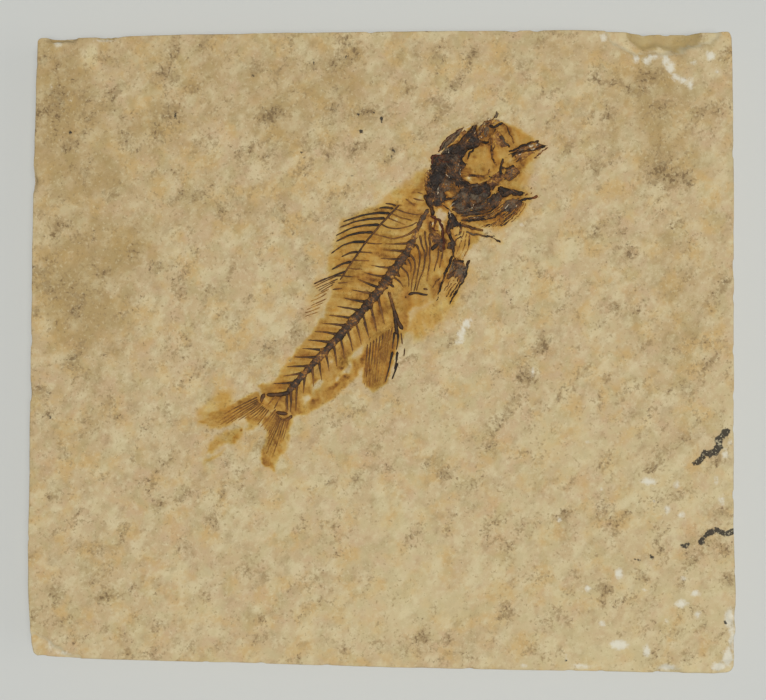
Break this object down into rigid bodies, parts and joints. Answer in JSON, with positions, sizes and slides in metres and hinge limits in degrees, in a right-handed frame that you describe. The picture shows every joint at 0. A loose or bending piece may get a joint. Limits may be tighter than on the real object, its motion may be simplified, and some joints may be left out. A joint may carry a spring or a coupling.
{
  "type": "fossil fish slab",
  "caption": "Sawn slab of buff limestone with a small spiny-finned fossil fish in low relief across its face, a display piece that lies flat.",
  "frame": {"origin": "middle of the slab's flat back, under the centre of its outline", "axes": "+Z out of the face that carries the fish, +X to the right and +Y up when the fish is seen with its head at the upper right"},
  "size_m": [0.1413, 0.1286, 0.0152],
  "materials": {
    "limestone": "buff fine-grained laminated limestone, matt, with brown specks, chalky bruises and amber stain round the fish",
    "fossil_bone": "dark brown mineralised bone, satin, slightly cracked",
    "amber_ray": "amber-brown mineralised fin rays and flat tail bones, satin"
  },
  "bodies": {
    "root": {"slab": "limestone", "skull": "fossil_bone", "lower_jaw": "fossil_bone", "shoulder_girdle": "fossil_bone", "backbone": "fossil_bone", "dorsal_fin": "fossil_bone", "pelvic_fin": "fossil_bone", "anal_fin": "fossil_bone", "tail_fin": "amber_ray"}
  },
  "joints": []
}
